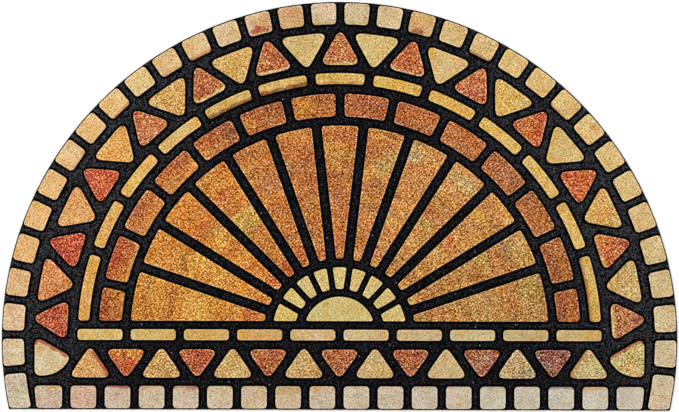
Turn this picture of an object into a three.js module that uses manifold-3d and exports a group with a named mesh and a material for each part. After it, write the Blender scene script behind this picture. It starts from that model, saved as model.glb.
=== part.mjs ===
// Half-round doormat, moulded in one piece from recycled rubber: a flat base with raised tiles that
// form a sunburst mosaic. Every tile has a flat top, which carries the printed flock, and walls that
// lean out to the groove floor so that the mat leaves its mould.
// Millimetres, +Z up, +X along the straight edge, +Y towards the crown. The origin lies on the floor,
// in the middle of the mat's box.
import * as THREE from "three";
import { mergeVertices } from "three/addons/utils/BufferGeometryUtils.js";
import Module from "manifold-3d";

// Overall sizes
const WIDTH = 914; // across the widest part of the round edge
const DEPTH = 552; // from the straight edge to the crown
const BASE_THICKNESS = 5; // rubber under the groove floor
const TILE_HEIGHT = 3; // tile top above the groove floor
const WALL_LEAN = 0.8; // how far a tile's wall spreads on its way down
const TILE_ROOT = 1.5; // how deep a tile's foot reaches into the base
const RIM = 1.8; // bare rubber between the border tiles and the mat's edge

// The bands are drawn with y measured up from the straight edge.
const ROUND_RADIUS = WIDTH / 2;
const ROUND_CENTRE = DEPTH - ROUND_RADIUS; // height of the round edge's centre
const TRIANGLE_CENTRE = 98.5; // height of the triangle ring's centre
const FAN_CENTRE = 102; // height of the fan's centre, on the line of the bar row
const FAN_FLOOR = 120; // the fan's bands stop at this height
const CROWN_CROWDING = 1.03; // tiles of the two outer rings stand closer together at the crown

// Border squares along the round edge, with a longer tile in each corner
const BORDER = { inner: 426, outer: ROUND_RADIUS - RIM, pitch: 5.95, tiles: 32, groove: 11, corner: 5.7 };

// Triangles of the outer ring, every other one pointing out. Sizes run to the sharp corners.
const RING_PITCH = 7.22; // degrees from one triangle to the next
const RING_TRIANGLES = 25;
const RING_CORNER = 8.7;
const POINT_OUT = { apex: 418.6, base: 367.6, halfBase: 28.3 };
const POINT_IN = { apex: 362.7, base: 411.1, halfBase: 35 };

// The ring's two end tiles: a triangle that points inwards, with its lower side bulging
const END_TILE = { outerX: 412, topY: 100, apexX: 363, apexY: 72, lowX: 402, lowY: 45.5, bulge: 15 };

// Bands of the fan, from the sun outwards: rings of tiles between two radii, pitch in degrees
const FAN_BANDS = {
  sunRays: { inner: 61.6, outer: 91.3, pitch: 17.13, tiles: 9, groove: 7.9, corner: 3.1 },
  rays: { inner: 102.5, outer: 282.6, pitch: 12.96, tiles: 13, groove: 13.2, corner: 4 },
  bricks: { inner: 294.5, outer: 325.7, pitch: 12.94, tiles: 14, groove: 12.1, corner: 5.4 },
  arcBars: { inner: 338.3, outer: 353.6, pitch: 12.94, tiles: 13, groove: 12, corner: 4.8 },
};
const PAST_FLOOR = 90; // degrees: the end tiles run on to here, and the fan's floor cuts them
const SUN = { radius: 48.5, centre: 105, corner: 3 };

// Rows under the fan
const BAR_ROW = { tiles: 10, pitch: 71.9, width: 61.2, low: 93.8, high: 109, corner: 5.2 };
const ROW_PITCH = 48.07; // from one triangle of the row to the next
const ROW_TRIANGLES = 15;
const ROW_CORNER = 7.8;
const POINT_UP = { apex: 87.1, base: 43.1, halfBase: 30.2 };
const POINT_DOWN = { apex: 41.1, base: 82, halfBase: 29.6 };
const SQUARE_ROW = { tiles: 18, pitch: 46.1, width: 34.9, low: RIM, high: 32.5, corner: 5.8 };
const END_SQUARE_FLARE = 3; // the row's end squares widen upwards, along the corner tiles

// Fineness of the facets
const EDGE_STEPS = 72; // half the steps along the round edge
const CORNER_STEPS = 2; // steps round a tile's corner
const TRIANGLE_STEPS = 3; // steps round a triangle's corner, which turns further
const ARC_STEPS = 2; // steps along a tile's curved side
const SUN_STEPS = 12;
const SHARPEST_ARC = THREE.MathUtils.degToRad(25); // a point that turns less than this isn't a corner

const wasm = await Module();
wasm.setup();

const { Vector2 } = THREE;

function solidOf(geometry) {
  geometry.deleteAttribute("normal");
  geometry.deleteAttribute("uv");
  const merged = mergeVertices(geometry, 1e-4);
  return new wasm.Manifold(
    new wasm.Mesh({
      numProp: 3,
      vertProperties: new Float32Array(merged.attributes.position.array),
      triVerts: new Uint32Array(merged.index.array),
    }),
  );
}

function geometryOf(solid) {
  const mesh = solid.getMesh();
  const indexed = new THREE.BufferGeometry();
  indexed.setAttribute("position", new THREE.BufferAttribute(mesh.vertProperties, 3));
  indexed.setIndex(new THREE.BufferAttribute(mesh.triVerts, 1));
  const faceted = indexed.toNonIndexed();
  faceted.computeVertexNormals();
  return faceted;
}

// A closed outline through these points, with its real corners rounded and the points of its arcs kept.
function roundedOutline(points, radius) {
  const outline = new THREE.Shape();
  const goTo = (p, i) => (i === 0 ? outline.moveTo(p.x, p.y) : outline.lineTo(p.x, p.y));
  points.forEach((corner, i) => {
    const back = points.at(i - 1).clone().sub(corner);
    const ahead = points[(i + 1) % points.length].clone().sub(corner);
    const turn = Math.PI - back.angleTo(ahead);
    if (turn < SHARPEST_ARC) {
      goTo(corner, i);
      return;
    }
    const cut = Math.min(radius * Math.tan(turn / 2), 0.49 * back.length(), 0.49 * ahead.length());
    const end = ahead.setLength(cut).add(corner);
    goTo(back.setLength(cut).add(corner), i);
    outline.quadraticCurveTo(corner.x, corner.y, end.x, end.y);
  });
  outline.closePath();
  return outline;
}

// A raised tile: the outline is its top face, and its foot is sunk into the base.
function tile(points, corner, cornerSteps = CORNER_STEPS) {
  const raised = new THREE.ExtrudeGeometry(roundedOutline(points, corner), {
    depth: TILE_ROOT,
    bevelEnabled: true,
    bevelThickness: TILE_HEIGHT,
    bevelSize: WALL_LEAN,
    bevelSegments: 1,
    curveSegments: cornerSteps,
  });
  raised.translate(0, 0, BASE_THICKNESS - TILE_ROOT);
  return solidOf(raised);
}

// A point at this radius and at this angle from straight up, in degrees towards +X.
function polar(centre, radius, angle) {
  const turned = THREE.MathUtils.degToRad(angle);
  return new Vector2(radius * Math.sin(turned), centre + radius * Math.cos(turned));
}

// A tile's outline between two radii and two angles, with half a groove kept clear along each side.
function wedge(centre, band, from, to) {
  const halfGroove = (radius) => THREE.MathUtils.radToDeg(Math.asin(band.groove / 2 / radius));
  const arc = (radius, start, end) =>
    Array.from({ length: ARC_STEPS + 1 }, (_, k) =>
      polar(centre, radius, THREE.MathUtils.lerp(start, end, k / ARC_STEPS)),
    );
  const outer = halfGroove(band.outer);
  const inner = halfGroove(band.inner);
  return [...arc(band.inner, from + inner, to - inner), ...arc(band.outer, to - outer, from + outer)];
}

// The part of an outline that lies above a level line.
function cutBelow(points, level) {
  return points.flatMap((point, i) => {
    const before = points.at(i - 1);
    const kept = point.y >= level ? [point] : [];
    if (point.y >= level === before.y >= level) return kept;
    const crossing = before.clone().lerp(point, (level - before.y) / (point.y - before.y));
    return [crossing, ...kept];
  });
}

// Whole or half steps from the middle of a row to each of its tiles.
function stepsFromMiddle(count) {
  return Array.from({ length: count }, (_, k) => k - (count - 1) / 2);
}

function crowded(angle) {
  const turned = THREE.MathUtils.degToRad(angle);
  return THREE.MathUtils.radToDeg(Math.atan2(Math.sin(turned), CROWN_CROWDING * Math.cos(turned)));
}

function mirrored(points) {
  return points.map((p) => new Vector2(-p.x, p.y)).reverse();
}

function borderTiles() {
  const from = (step) => crowded(BORDER.pitch * (step - 0.5));
  const squares = stepsFromMiddle(BORDER.tiles).map((step) =>
    wedge(ROUND_CENTRE, BORDER, from(step), from(step + 1)),
  );
  const lastEdge = from(BORDER.tiles / 2 + 0.5);
  const cornerTile = cutBelow(wedge(ROUND_CENTRE, BORDER, lastEdge, lastEdge + 2 * BORDER.pitch), RIM);
  return [...squares, cornerTile, mirrored(cornerTile)].map((points) => tile(points, BORDER.corner));
}

function triangleRing() {
  const tiles = stepsFromMiddle(RING_TRIANGLES).map((step) => {
    const { apex, base, halfBase } = step % 2 === 0 ? POINT_OUT : POINT_IN;
    const middle = new Vector2(0, TRIANGLE_CENTRE);
    const turn = -THREE.MathUtils.degToRad(crowded(RING_PITCH * step));
    const upright = [
      new Vector2(0, TRIANGLE_CENTRE + apex),
      new Vector2(-halfBase, TRIANGLE_CENTRE + base),
      new Vector2(halfBase, TRIANGLE_CENTRE + base),
    ];
    return upright.map((p) => p.rotateAround(middle, turn));
  });
  const apex = new Vector2(END_TILE.apexX, END_TILE.apexY);
  const low = new Vector2(END_TILE.lowX, END_TILE.lowY);
  const outward = low.clone().sub(apex).rotateAround(new Vector2(), -Math.PI / 2).setLength(END_TILE.bulge);
  const side = new THREE.QuadraticBezierCurve(apex, apex.clone().lerp(low, 0.5).add(outward), low);
  const top = new Vector2(END_TILE.outerX, END_TILE.topY);
  const foot = new Vector2(END_TILE.outerX, END_TILE.lowY);
  const endTile = [top, ...side.getPoints(2 * ARC_STEPS), foot];
  const outlines = [...tiles, endTile, mirrored(endTile)];
  return outlines.map((points) => tile(points, RING_CORNER, TRIANGLE_STEPS));
}

function fanTiles() {
  const bands = Object.values(FAN_BANDS).flatMap((band) => {
    const last = (band.tiles - 1) / 2;
    return stepsFromMiddle(band.tiles).map((step) => {
      const from = step === -last ? -PAST_FLOOR : band.pitch * (step - 0.5);
      const to = step === last ? PAST_FLOOR : band.pitch * (step + 0.5);
      return tile(cutBelow(wedge(FAN_CENTRE, band, from, to), FAN_FLOOR), band.corner);
    });
  });
  const round = Array.from({ length: SUN_STEPS + 1 }, (_, k) =>
    polar(SUN.centre, SUN.radius, THREE.MathUtils.lerp(90, -90, k / SUN_STEPS)),
  );
  return [...bands, tile(cutBelow(round, FAN_FLOOR), SUN.corner)];
}

function rowTiles() {
  const block = (row, step, flareLeft = 0, flareRight = 0) => {
    const left = step * row.pitch - row.width / 2;
    const right = left + row.width;
    const corners = [
      new Vector2(left, row.low),
      new Vector2(right, row.low),
      new Vector2(right + flareRight, row.high),
      new Vector2(left - flareLeft, row.high),
    ];
    return tile(corners, row.corner);
  };
  const bars = stepsFromMiddle(BAR_ROW.tiles).map((step) => block(BAR_ROW, step));
  const lastSquare = (SQUARE_ROW.tiles - 1) / 2;
  const squares = stepsFromMiddle(SQUARE_ROW.tiles).map((step) =>
    block(
      SQUARE_ROW,
      step,
      step === -lastSquare ? END_SQUARE_FLARE : 0,
      step === lastSquare ? END_SQUARE_FLARE : 0,
    ),
  );
  const triangles = stepsFromMiddle(ROW_TRIANGLES).map((step) => {
    const { apex, base, halfBase } = step % 2 === 0 ? POINT_DOWN : POINT_UP;
    const middle = step * ROW_PITCH;
    const corners = [
      new Vector2(middle, apex),
      new Vector2(middle - halfBase, base),
      new Vector2(middle + halfBase, base),
    ];
    return tile(corners, ROW_CORNER, TRIANGLE_STEPS);
  });
  return [...bars, ...squares, ...triangles];
}

function baseSheet() {
  const halfChord = Math.sqrt(ROUND_RADIUS ** 2 - ROUND_CENTRE ** 2);
  const startAngle = Math.atan2(-ROUND_CENTRE, halfChord);
  const outline = new THREE.Shape();
  outline.moveTo(-halfChord, 0);
  outline.lineTo(halfChord, 0);
  outline.absarc(0, ROUND_CENTRE, ROUND_RADIUS, startAngle, Math.PI - startAngle, false);
  const sheet = new THREE.ExtrudeGeometry(outline, {
    depth: BASE_THICKNESS,
    bevelEnabled: false,
    curveSegments: EDGE_STEPS,
  });
  return solidOf(sheet);
}

const tiles = [...borderTiles(), ...triangleRing(), ...fanTiles(), ...rowTiles()];
const moulded = tiles.reduce((whole, part) => whole.add(part), baseSheet());

const crumbRubber = new THREE.MeshStandardMaterial({ color: 0x1a1c24, roughness: 0.92, metalness: 0 });
const mat = new THREE.Mesh(geometryOf(moulded), crumbRubber);
mat.name = "mat";
mat.position.set(0, -DEPTH / 2, 0);

const doormat = new THREE.Group();
doormat.add(mat);

export default doormat;
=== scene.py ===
# Half-round doormat of moulded rubber, with raised tiles topped with printed flock that make a sunburst.
import math

import bpy
import numpy as np
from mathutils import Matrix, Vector, noise
from mathutils.geometry import delaunay_2d_cdt


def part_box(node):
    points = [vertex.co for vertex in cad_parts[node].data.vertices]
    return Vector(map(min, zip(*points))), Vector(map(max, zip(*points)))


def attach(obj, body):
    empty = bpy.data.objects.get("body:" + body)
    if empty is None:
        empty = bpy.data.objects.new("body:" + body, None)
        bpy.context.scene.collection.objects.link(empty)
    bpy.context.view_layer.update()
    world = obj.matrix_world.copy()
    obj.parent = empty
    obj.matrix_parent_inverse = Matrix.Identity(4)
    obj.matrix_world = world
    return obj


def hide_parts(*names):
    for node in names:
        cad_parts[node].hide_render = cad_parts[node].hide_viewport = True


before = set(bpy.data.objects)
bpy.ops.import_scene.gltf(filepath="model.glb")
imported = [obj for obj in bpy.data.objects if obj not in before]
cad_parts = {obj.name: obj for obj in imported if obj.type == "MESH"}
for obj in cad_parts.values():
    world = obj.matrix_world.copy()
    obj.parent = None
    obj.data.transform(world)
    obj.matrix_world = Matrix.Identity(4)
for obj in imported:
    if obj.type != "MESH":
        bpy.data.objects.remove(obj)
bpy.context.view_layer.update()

# Rubber sheet
# The body of the mat: crumb of old tyres and a binder, pressed hot in one mould. Its upper side is the
# floor of the grooves between the tiles, rough with crumb, and its flat back lies on the ground.
MM = 0.001  # in metres: sizes are in millimetres, with y counted up from the mat's straight edge
mat_low, mat_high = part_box("mat")
DEPTH = round((mat_high.y - mat_low.y) / MM)
ROUND_RADIUS = round((mat_high.x - mat_low.x) / MM / 2)
ROUND_CENTRE = DEPTH - ROUND_RADIUS
SHEET_TOP = 5
# Steps of the sheet's side, from its back to its top: out from the outline, and height
SHEET_EDGE = [(-0.5, 0), (0, 0.6), (0, 4.1), (-0.25, 4.7), (-0.9, SHEET_TOP)]
EDGE_STEP = 3  # between points along the edge
EDGE_STRAY = 0.25  # the trimmed edge wanders in and out by this much
EDGE_WAVE = 7  # in waves of about this length
CRUMB_STEP = 2.6  # between points of the groove floor
CRUMB_LUMP = 3.4
CRUMB_RISE = 0.16  # lumps of crumb stand this far above or below the floor


def linear(colour):
    """The linear RGBA of an sRGB hex colour."""
    channels = [int(colour[i : i + 2], 16) / 255 for i in (1, 3, 5)]
    return [c / 12.92 if c <= 0.04045 else ((c + 0.055) / 1.055) ** 2.4 for c in channels] + [1.0]


def add(tree, kind, inputs, **settings):
    """Adds a node with these settings, and gives each of these inputs a value or a link."""
    node = tree.nodes.new(kind)
    for name, value in settings.items():
        setattr(node, name, value)
    for socket, value in inputs.items():
        if isinstance(value, bpy.types.NodeSocket):
            tree.links.new(value, node.inputs[socket])
        else:
            node.inputs[socket].default_value = value
    return node


def mix(tree, share, first, second):
    """A colour that lies this share of the way from the first to the second."""
    a, b, result = 6, 7, 2  # the colour sockets of a Mix node
    inputs = {"Factor": share, a: first, b: second}
    return add(tree, "ShaderNodeMix", inputs, data_type="RGBA").outputs[result]


def ramp(tree, value, start, end, low=0, high=1):
    """A value that goes from low to high while another goes from start to end."""
    inputs = {"Value": value, "From Min": start, "From Max": end, "To Min": low, "To Max": high}
    return add(tree, "ShaderNodeMapRange", inputs).outputs[0]


def crumb_rubber():
    """Pressed tyre crumb: matt and nearly black, with greyer crumbs, pale granules and some caught lint.

    It is greyer out towards the two shoulders of the mat, where more dust stays.
    """
    crumb_size = 2.1
    grain_depth = 0.4
    climb_share = 0.5  # the way up from the mat's middle counts this much beside the way out to the side
    clean_reach, dusty_reach = 162, 347
    least_dust = 0.29
    granule_spacing = 4.5
    lint_spacing = 16
    material = bpy.data.materials.new("crumb_rubber")
    material.use_nodes = True
    tree = material.node_tree
    place = add(tree, "ShaderNodeTexCoord", {}).outputs["Object"]
    crumb = add(
        tree,
        "ShaderNodeTexNoise",
        {"Vector": place, "Scale": 1 / (crumb_size * MM), "Detail": 2, "Roughness": 0.7},
    ).outputs["Fac"]
    axes = add(tree, "ShaderNodeSeparateXYZ", {"Vector": place}).outputs
    sideways = add(tree, "ShaderNodeMath", {0: axes["X"]}, operation="ABSOLUTE").outputs[0]
    to_shoulder = add(
        tree, "ShaderNodeMath", {0: axes["Y"], 1: climb_share, 2: sideways}, operation="MULTIPLY_ADD"
    ).outputs[0]
    dust = ramp(tree, to_shoulder, clean_reach * MM, dusty_reach * MM, low=least_dust)
    grey = ramp(tree, crumb, 0.45, 0.72, high=dust)
    crumbs = mix(tree, grey, linear("#030305"), linear("#535256"))
    to_granule = add(
        tree, "ShaderNodeTexVoronoi", {"Vector": place, "Scale": 1 / (granule_spacing * MM)}
    ).outputs["Distance"]
    granules = mix(tree, ramp(tree, to_granule, 0.22, 0.12), crumbs, linear("#43454d"))
    to_lint = add(
        tree, "ShaderNodeTexVoronoi", {"Vector": place, "Scale": 1 / (lint_spacing * MM)}
    ).outputs["Distance"]
    linted = mix(tree, ramp(tree, to_lint, 0.06, 0.04), granules, linear("#828892"))
    matt = ramp(tree, crumb, 0.3, 0.7, low=0.95, high=0.8)
    grain = add(
        tree, "ShaderNodeBump", {"Height": crumb, "Strength": 0.7, "Distance": grain_depth * MM}
    ).outputs[0]
    surface = tree.nodes["Principled BSDF"]
    surface.inputs["IOR"].default_value = 1.5
    surface.inputs["Specular IOR Level"].default_value = 0.02
    tree.links.new(linted, surface.inputs["Base Color"])
    tree.links.new(matt, surface.inputs["Roughness"])
    tree.links.new(grain, surface.inputs["Normal"])
    return material


def outward(outline):
    """Unit vectors that point out of a closed outline, one at each of its points."""
    along = np.roll(outline, -1, axis=0) - np.roll(outline, 1, axis=0)
    out = np.column_stack([along[:, 1], -along[:, 0]])
    return out / np.linalg.norm(out, axis=1, keepdims=True)


def stacked_rings(outline, profile):
    """The points of an outline at each step of a profile, moved out or in and set at its height."""
    out = outward(outline)
    rings = [
        np.column_stack([outline + away * out, np.full(len(out), height)]) for away, height in profile
    ]
    return np.vstack(rings)


def wall_faces(rings, count):
    """The quads that join stacked rings of this many points."""
    here = np.arange(count)
    after = np.roll(here, -1)
    level = np.column_stack([here, after, after + count, here + count])
    return np.vstack([level + ring * count for ring in range(rings - 1)])


def scattered(low, high, spacing, rng):
    """Points on a staggered grid over a box in the plan, each nudged at random."""
    row_share = 0.866  # from row to row, in parts of the spacing, for a grid of even triangles
    nudge = 0.28  # also in parts of the spacing
    columns = np.arange(low[0], high[0], spacing)
    rows = np.arange(low[1], high[1], spacing * row_share)
    x, y = np.meshgrid(columns, rows)
    x[1::2] += spacing / 2
    points = np.column_stack([x.ravel(), y.ravel()])
    return points + rng.uniform(-nudge, nudge, points.shape) * spacing


def triangles_over(ring, inside):
    """Triangles that fill a closed ring and take in the points scattered inside it."""
    inside_only, tolerance = 1, 1e-6
    points = [Vector(p) for p in np.vstack([ring, inside])]
    return np.array(delaunay_2d_cdt(points, [], [range(len(ring))], inside_only, tolerance)[2])


def lumps(points, size, layer):
    """Smooth noise over points in the plan, from -1 to 1, with lumps of about this size."""
    return np.array([noise.noise((x / size, y / size, layer)) for x, y in points])


def mesh_piece(name, points, faces, materials):
    """A smooth-shaded object in the mat's frame, from points in millimetres."""
    mesh = bpy.data.meshes.new(name)
    mesh.from_pydata((points - [0, DEPTH / 2, 0]) * MM, [], faces)
    mesh.shade_smooth()
    for material in materials:
        mesh.materials.append(material)
    piece = bpy.data.objects.new(name, mesh)
    bpy.context.scene.collection.objects.link(piece)
    return piece


half_straight = math.sqrt(ROUND_RADIUS**2 - ROUND_CENTRE**2)
past_level = math.asin(ROUND_CENTRE / ROUND_RADIUS)
round_length = (math.pi + 2 * past_level) * ROUND_RADIUS
turns = np.linspace(-past_level, math.pi + past_level, round(round_length / EDGE_STEP))
round_edge = np.column_stack([np.cos(turns), np.sin(turns)]) * ROUND_RADIUS + [0, ROUND_CENTRE]
straight_edge = np.linspace(round_edge[-1], round_edge[0], round(2 * half_straight / EDGE_STEP))[1:-1]
sheet_outline = np.vstack([round_edge, straight_edge])
stray = EDGE_STRAY * (lumps(sheet_outline, EDGE_WAVE, layer=0.5) - 1)
sheet_outline += outward(sheet_outline) * stray[:, None]
sheet_rings = stacked_rings(sheet_outline, SHEET_EDGE)
edge_points = len(sheet_outline)
top_ring_start = len(sheet_rings) - edge_points
floor_points = scattered((-ROUND_RADIUS, 0), (ROUND_RADIUS, DEPTH), CRUMB_STEP, np.random.default_rng(1))
clear_of_edge = 2 * EDGE_STRAY - SHEET_EDGE[-1][0] + CRUMB_STEP / 2
from_centre = np.hypot(floor_points[:, 0], floor_points[:, 1] - ROUND_CENTRE)
within_round = from_centre < ROUND_RADIUS - clear_of_edge
floor_points = floor_points[within_round & (floor_points[:, 1] > clear_of_edge)]
floor_heights = SHEET_TOP + CRUMB_RISE * lumps(floor_points, CRUMB_LUMP, layer=1.5)
sheet_faces = [
    *wall_faces(len(SHEET_EDGE), edge_points).tolist(),
    *(triangles_over(sheet_rings[top_ring_start:, :2], floor_points) + top_ring_start).tolist(),
    *triangles_over(sheet_rings[:edge_points, :2], np.empty((0, 2)))[:, ::-1].tolist(),
]
rubber_sheet = mesh_piece(
    "rubber_sheet",
    np.vstack([sheet_rings, np.column_stack([floor_points, floor_heights])]),
    sheet_faces,
    [crumb_rubber()],
)
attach(rubber_sheet, "root")
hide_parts("mat")

# Border squares
# The outermost tiles, moulded with the sheet along its round edge, with a longer tile in each corner.
# Like all the tiles they have leaning rubber walls, and flock on top, printed a little out of register.
TILE_PROFILE = [  # out from the top's outline, and height, from the buried foot to the crown of the pile
    # the first steps are a fillet round the foot in the near-black skin, which is partly painted shade in
    # the groove beside each tile
    (3.2, 4.5),
    (3.2, 4.97),
    (2.1, 5.12),
    (1.1, 5.5),
    (0.6, 6.2),
    (0.0, 7.45),
    (-0.4, 7.7),
    (-0.55, 7.95),
    (-0.95, 8.05),
    (-1.55, 8.1),
]
FOOT_RIM = 0.8  # a tile's foot keeps this far inside the mat's edge
FLOCK_FOOT = 6  # the step of the profile where flock takes over from rubber
TILE_STEP = 1.9  # between points along a tile's outline
CORNER_STEPS = 6
ARC_POINTS = 25
SHARPEST_ARC = math.radians(25)  # a point that turns less than this isn't a corner
PILE_STEP = 1.25  # between points on a tile's top
PILE_MARGIN = 0.55  # they keep this far from its rim, in parts of that step
PILE_LUMP = 2.6
PILE_RISE = 0.16  # lumps of pile stand this far above or below the top
PILE_LAYER = 0.3  # keeps these lumps apart from those of the fuzz
FUZZ_LUMP = 1.7
FUZZ = 0.15  # the flock's edge strays by this much
RIM_HIGHLIGHT_WIDTH = 1.7  # width of the paler pile along a tile's edge: partly thinner print, partly a painted highlight where the shoulder's fibres catch the light
RIM_HIGHLIGHT_END = 1.25  # it has faded out at this many times that width
SLIP_BLUR = 1.4  # softness of the edge of a strip of slipped print
SLIP_RAG = 0.9  # how far that edge strays in small bites
SLIP_BITE = 2.2  # the size of a bite
SLIP_SWAY = 0.5  # how far it strays in long waves, in parts of the strip's width
SLIP_WAVE = 11  # the length of such a wave
SLIP_SMOOTH = 0.45  # its specks are weaker by this share
STAIN_BLUR = 0.7  # softness of a stain, in parts of its radius
STAIN_RAG = 0.7  # how far its edge strays, also in parts of its radius
STAIN_BITE = 0.6  # the size of the bites in its edge, likewise
STAIN_STRETCH = 1.5  # it is this much longer across the tile than out along it
SIDE_FACING = 0.8  # a stretch of outline is part of a side if it faces that way this much
SIDES = {"in": (0, -1), "out": (0, 1), "left": (-1, 0), "right": (1, 0)}  # with the tile's outer side up
TONE_SPREAD = 0.03  # the print varies by this share from tile to tile
RUBBER_RIM = 1.8  # bare rubber between the border tiles and the mat's edge
BORDER_INNER = 426
BORDER_OUTER = ROUND_RADIUS - RUBBER_RIM
BORDER_PITCH = 5.95  # degrees
BORDER_TILES = 32
BORDER_GROOVE = 11
BORDER_CORNER = 5.7
CROWN_CROWDING = 1.03  # tiles of the two outer rings stand closer together at the crown
# Tones of the print at even places along the band, from left to right
BORDER_TONES = [
    "#c6b49a", "#d9a86c", "#dbb276", "#d0ae7a", "#c6b18f",
    "#d0af75", "#d3b274", "#cdb27c", "#c7b291",
]
BORDER_SPECKLE = 0.174  # how far specks go from the tone, in parts of full brightness to the eye
# Strips of a neighbour's print, by steps from the middle: side, width, colour and how much of it shows
BORDER_SLIPS = {
    -9.5: ("in", 2.5, "#b96c57", 0.6),
    -7.5: ("in", 2.5, "#a25d3a", 0.7),
    -5.5: ("in", 3.5, "#b38542", 0.5),
    -4.5: ("in", 4.0, "#a5653a", 0.7),
    -1.5: ("in", 7.0, "#c2a359", 0.6),
    -0.5: ("in", 4.5, "#c3a85f", 0.65),
    0.5: ("in", 6.0, "#c2a562", 0.4),
    4.5: ("in", 3.0, "#8a573a", 0.7),
    7.5: ("in", 2.5, "#9b5d3e", 0.6),
}
# Stains, by steps from the middle: place, radius, colour and how much of it shows
BORDER_STAINS = {
    -15.5: [(-440, 77, 24, "#d2c29b", 0.7)],
    -9.5: [(-364, 343, 22, "#dec091", 0.6)],
    -6.5: [(-270, 442, 24, "#d6bf84", 0.7)],
    -3.5: [(-153, 508, 22, "#cfb693", 0.6)],
    -2.5: [
        (-108, 527, 14, "#c98f64", 0.6),
        (-113, 512, 7, "#a24f33", 0.95),
        (-103, 514, 7, "#a24f33", 0.95),
    ],
    -1.5: [(-67, 531, 26, "#c18e5b", 0.7)],
    2.5: [(110, 522, 26, "#cb9252", 0.75), (104, 510, 6.5, "#86492e", 0.9)],
    8.5: [(342, 382, 6, "#c98542", 0.8)],
    11.5: [(407, 261, 24, "#d6b27c", 0.7)],
}


def moulded_skin_and_shade():
    """Rubber skin of the tiles' walls and feet, pressed smooth by the mould: deep black with hardly a
    shine, partly painted shade.
    """
    mottle_size = 5
    material = bpy.data.materials.new("moulded_rubber_skin_and_painted_shade")
    material.use_nodes = True
    tree = material.node_tree
    place = add(tree, "ShaderNodeTexCoord", {}).outputs["Object"]
    mottle = add(
        tree, "ShaderNodeTexNoise", {"Vector": place, "Scale": 1 / (mottle_size * MM)}
    ).outputs["Fac"]
    # this near-black also covers the fillet round each tile's foot: partly the rubber's own colour,
    # partly painted shade in the groove beside the tile
    black = mix(tree, mottle, linear("#020203"), linear("#08080a"))
    surface = tree.nodes["Principled BSDF"]
    surface.inputs["Roughness"].default_value = 0.7
    surface.inputs["Specular IOR Level"].default_value = 0.02
    tree.links.new(black, surface.inputs["Base Color"])
    return material


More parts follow.
